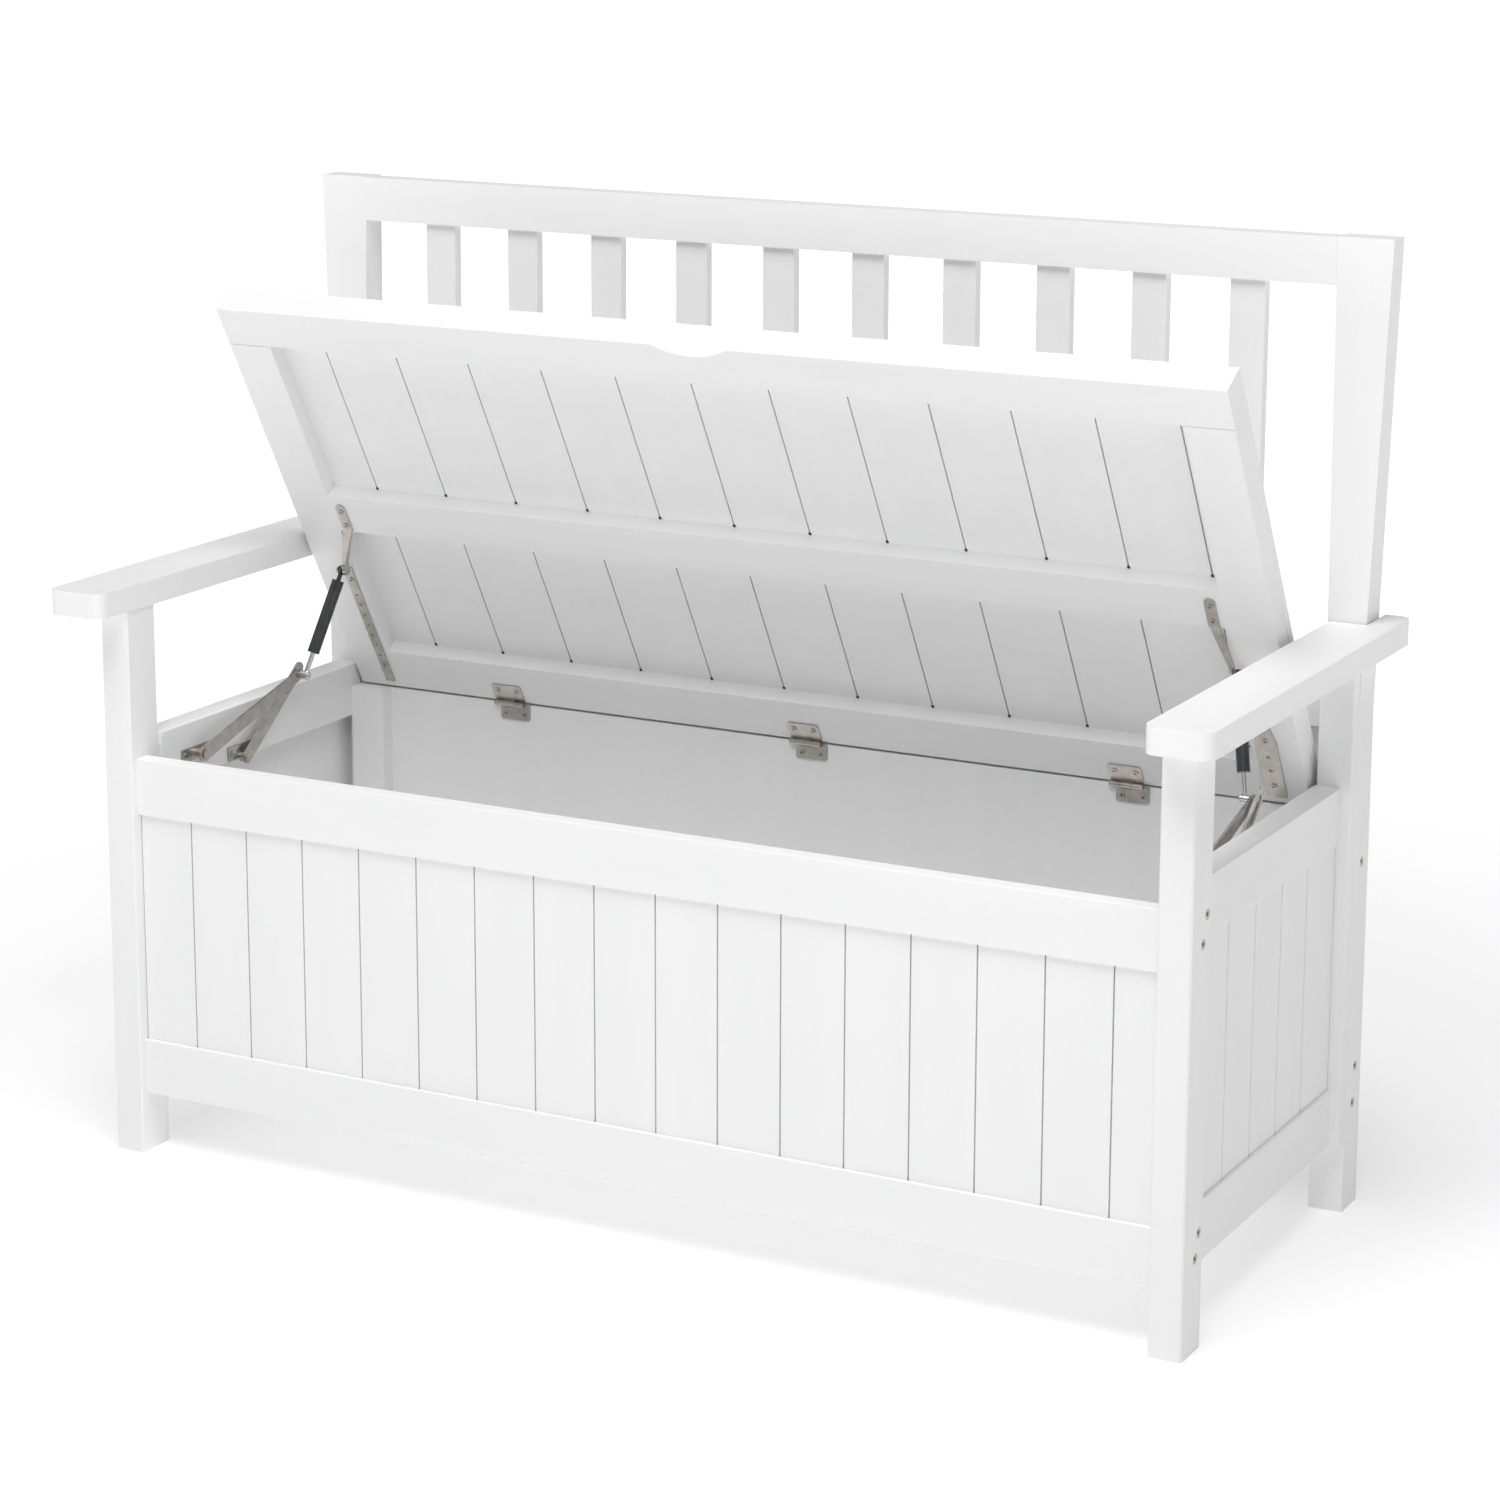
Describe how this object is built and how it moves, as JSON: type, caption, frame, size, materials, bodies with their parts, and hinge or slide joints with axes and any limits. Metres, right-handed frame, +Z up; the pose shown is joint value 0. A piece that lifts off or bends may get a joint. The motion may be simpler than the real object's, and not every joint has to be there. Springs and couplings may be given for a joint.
{
  "type": "storage bench",
  "caption": "White painted storage bench with slatted back, two arms and a hinged seat lid held open by two stays",
  "frame": {"origin": "centre of the bounding box, on the floor", "axes": "+X to the right as seen from the front, -Y towards the front, +Z up"},
  "size_m": [1.21, 0.515, 0.944],
  "materials": {
    "white_paint": "satin white paint over wood",
    "nickel_steel": "dull nickel-plated steel",
    "dark_metal": "gloss dark grey",
    "bright_steel": "polished rod"
  },
  "bodies": {
    "frame": {"front_leg_left": "white_paint", "front_leg_right": "white_paint", "back_post_left": "white_paint", "back_post_right": "white_paint", "rear_stile_left": "white_paint", "rear_stile_right": "white_paint", "armrest_left": "white_paint", "armrest_right": "white_paint", "front_top_rail": "white_paint", "front_bottom_rail": "white_paint", "front_boards": "white_paint", "side_top_rail_left": "white_paint", "side_top_rail_right": "white_paint", "side_bottom_rail_left": "white_paint", "side_bottom_rail_right": "white_paint", "side_boards_left": "white_paint", "side_boards_right": "white_paint", "back_panel": "white_paint", "back_top_rail": "white_paint", "back_bottom_rail": "white_paint", "back_infill_board": "white_paint", "corner_battens": "white_paint", "front_blocks": "white_paint", "floor_battens": "white_paint", "floor_boards": "white_paint", "backrest_top_rail": "white_paint", "backrest_bottom_rail": "white_paint", "backrest_slats": "white_paint", "arm_dowels": "white_paint", "frame_bolts": "nickel_steel", "hinge_leaves_fixed": "nickel_steel", "hinge_pins": "nickel_steel", "frame_screws": "nickel_steel", "stay_bracket_left": "nickel_steel", "stay_bracket_right": "nickel_steel"},
    "lid": {"lid_front_rail": "white_paint", "lid_stile_left": "white_paint", "lid_stile_right": "white_paint", "lid_rear_rail": "white_paint", "lid_middle_batten": "white_paint", "lid_boards": "white_paint", "lid_hinge_leaves": "nickel_steel", "lid_screws": "nickel_steel", "lid_strip_left": "nickel_steel", "lid_plate_right": "nickel_steel", "lid_stay_bracket_left": "nickel_steel", "lid_stay_bracket_right": "nickel_steel"},
    "cylinder_left": {"stay_cylinder_left": "dark_metal"},
    "rod_left": {"stay_rod_left": "bright_steel"},
    "arm_left": {"stay_arm_left": "nickel_steel"},
    "bar_left": {"stay_bar_left": "nickel_steel"},
    "cylinder_right": {"stay_cylinder_right": "dark_metal"},
    "rod_right": {"stay_rod_right": "bright_steel"},
    "arm_right": {"stay_arm_right": "nickel_steel"},
    "bar_right": {"stay_bar_right": "nickel_steel"}
  },
  "joints": [
    {"name": "lid_hinge", "type": "hinge", "parent": "frame", "child": "lid", "pos_m": [0, 0.1825, 0.403], "axis": [1, 0, 0], "range_deg": [0, 60]},
    {"name": "cylinder_left_swing", "type": "hinge", "parent": "lid", "child": "cylinder_left", "pos_m": [-0.495, 0.09044, 0.54846], "axis": [1, 0, 0], "range_deg": [-30.02, 0]},
    {"name": "rod_left_slide", "type": "slide", "parent": "cylinder_left", "child": "rod_left", "axis": [0.2072, 0.3103, 0.9278], "range_m": [0, 0.01142]},
    {"name": "arm_left_swing", "type": "hinge", "parent": "frame", "child": "arm_left", "pos_m": [-0.5267, -0.1145, 0.394], "axis": [1, 0, 0], "range_deg": [-49.59, 0]},
    {"name": "bar_left_swing", "type": "hinge", "parent": "frame", "child": "bar_left", "pos_m": [-0.5312, -0.0355, 0.372], "axis": [1, 0, 0], "range_deg": [-86.41, 0]},
    {"name": "cylinder_right_swing", "type": "hinge", "parent": "lid", "child": "cylinder_right", "pos_m": [0.495, 0.09044, 0.54846], "axis": [1, 0, 0], "range_deg": [-30.02, 0]},
    {"name": "rod_right_slide", "type": "slide", "parent": "cylinder_right", "child": "rod_right", "axis": [-0.2072, 0.3103, 0.9278], "range_m": [0, 0.01142]},
    {"name": "arm_right_swing", "type": "hinge", "parent": "frame", "child": "arm_right", "pos_m": [0.5267, -0.1145, 0.394], "axis": [1, 0, 0], "range_deg": [-49.59, 0]},
    {"name": "bar_right_swing", "type": "hinge", "parent": "frame", "child": "bar_right", "pos_m": [0.5312, -0.0355, 0.372], "axis": [1, 0, 0], "range_deg": [-86.41, 0]}
  ],
  "couplings": [
    {"joint": "cylinder_left_swing", "follows": "lid_hinge", "ratio": -0.49957},
    {"joint": "rod_left_slide", "follows": "lid_hinge", "m_per_rad": 0.010887},
    {"joint": "arm_left_swing", "follows": "lid_hinge", "ratio": -0.82569},
    {"joint": "bar_left_swing", "follows": "lid_hinge", "ratio": -1.4393},
    {"joint": "cylinder_right_swing", "follows": "lid_hinge", "ratio": -0.49957},
    {"joint": "rod_right_slide", "follows": "lid_hinge", "m_per_rad": 0.010887},
    {"joint": "arm_right_swing", "follows": "lid_hinge", "ratio": -0.82569},
    {"joint": "bar_right_swing", "follows": "lid_hinge", "ratio": -1.4393}
  ]
}
